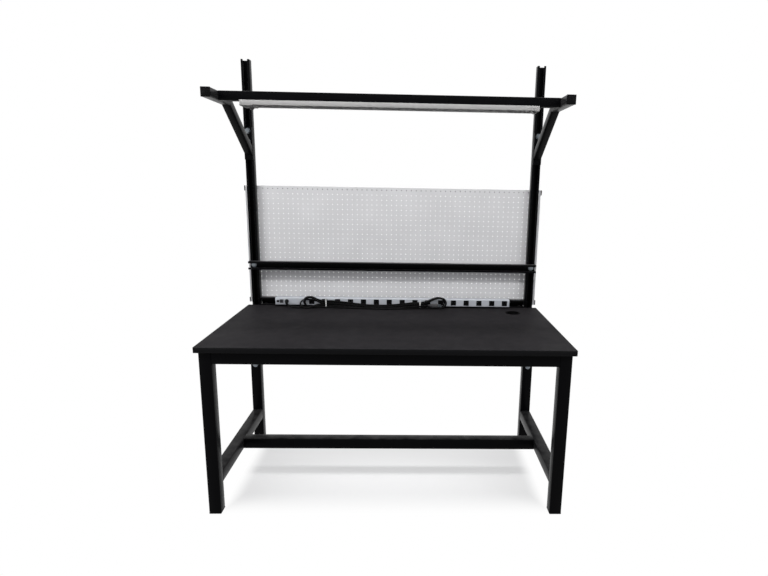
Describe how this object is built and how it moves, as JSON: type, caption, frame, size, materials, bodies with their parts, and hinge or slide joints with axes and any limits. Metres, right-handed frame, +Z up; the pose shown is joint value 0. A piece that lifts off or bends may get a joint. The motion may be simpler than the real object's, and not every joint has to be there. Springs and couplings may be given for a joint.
{
  "type": "assembly workbench",
  "caption": "Steel-framed assembly workbench with strut uprights, pegboard, sliding accessory rail, power strip with corded plug, and a height-adjustable overhead frame with a light.",
  "frame": {"origin": "on the floor, at the middle of the bench's width and depth", "axes": "+Z up, +X to the right of the person who works at the bench, +Y away from that person, towards the pegboard"},
  "size_m": [1.536, 0.8274, 1.95],
  "materials": {
    "powder_coat": "satin black powder coat",
    "laminate": "dark charcoal laminate",
    "edge_band": "matte black",
    "black_plastic": "matte black",
    "zinc": "zinc plated",
    "pegboard_paint": "light grey satin paint",
    "light_paint": "white satin paint",
    "diffuser_acrylic": "frosted",
    "strip_aluminium": "satin anodised",
    "cord_jacket": "matte black",
    "plug_rubber": "matte dark grey"
  },
  "bodies": {
    "bench": {"worktop": "laminate", "worktop_edge_band": "edge_band", "cable_grommet": "black_plastic", "leg_front_left": "powder_coat", "leg_front_right": "powder_coat", "leg_rear_left": "powder_coat", "leg_rear_right": "powder_coat", "leg_cap_front_left": "black_plastic", "leg_cap_front_right": "black_plastic", "leg_cap_rear_left": "black_plastic", "leg_cap_rear_right": "black_plastic", "apron_front": "powder_coat", "apron_rear": "powder_coat", "apron_left": "powder_coat", "apron_right": "powder_coat", "side_stretcher_left": "powder_coat", "side_stretcher_right": "powder_coat", "cross_stretcher": "powder_coat", "upright_left": "powder_coat", "upright_right": "powder_coat", "upright_bolt_low_left": "zinc", "upright_bolt_high_left": "zinc", "upright_bolt_low_right": "zinc", "upright_bolt_high_right": "zinc", "bottom_rail": "powder_coat", "rail_bracket_left": "zinc", "rail_bracket_right": "zinc", "pegboard_panel": "pegboard_paint", "pegboard_rail_bottom": "powder_coat", "pegboard_rail_top": "powder_coat", "strip_housing": "strip_aluminium", "strip_end_cap_left": "black_plastic", "strip_end_cap_right": "black_plastic", "switch_bezel": "black_plastic", "reset_collar": "black_plastic", "cord_gland": "black_plastic", "cord": "cord_jacket", "cord_hank": "cord_jacket", "plug": "plug_rubber"},
    "accessory_rail": {"accessory_rail": "powder_coat", "accessory_rail_bolt_left": "zinc", "accessory_rail_bolt_right": "zinc"},
    "overhead_frame": {"arm_left": "powder_coat", "arm_right": "powder_coat", "brace_left": "powder_coat", "brace_right": "powder_coat", "crossbar": "powder_coat", "arm_cap_left": "black_plastic", "arm_cap_right": "black_plastic", "overhead_bolt_low_left": "zinc", "overhead_bolt_high_left": "zinc", "overhead_bolt_low_right": "zinc", "overhead_bolt_high_right": "zinc", "light_housing": "light_paint", "light_diffuser": "diffuser_acrylic", "light_end_cap_left": "light_paint", "light_end_cap_right": "light_paint"},
    "light_button": {"light_button": "black_plastic"},
    "rocker_switch": {"rocker_switch": "black_plastic"},
    "reset_button": {"reset_button": "black_plastic"}
  },
  "joints": [
    {"name": "overhead_height", "type": "slide", "parent": "bench", "child": "overhead_frame", "axis": [0, 0, 1], "range_m": [-0.14, 0.26]},
    {"name": "accessory_rail_height", "type": "slide", "parent": "bench", "child": "accessory_rail", "axis": [0, 0, 1], "range_m": [-0.1, 0.32]},
    {"name": "light_button_press", "type": "slide", "parent": "overhead_frame", "child": "light_button", "axis": [0, 0, 1], "range_m": [0, 0.002], "stiffness_N_per_m": 600, "springref_m": -0.002},
    {"name": "rocker_tilt", "type": "hinge", "parent": "bench", "child": "rocker_switch", "pos_m": [-0.5795, 0.3137, 0.765], "axis": [0, 0, 1], "range_deg": [0, 12]},
    {"name": "reset_button_press", "type": "slide", "parent": "bench", "child": "reset_button", "axis": [0, 1, 0], "range_m": [0, 0.0015], "stiffness_N_per_m": 600, "springref_m": -0.002}
  ]
}
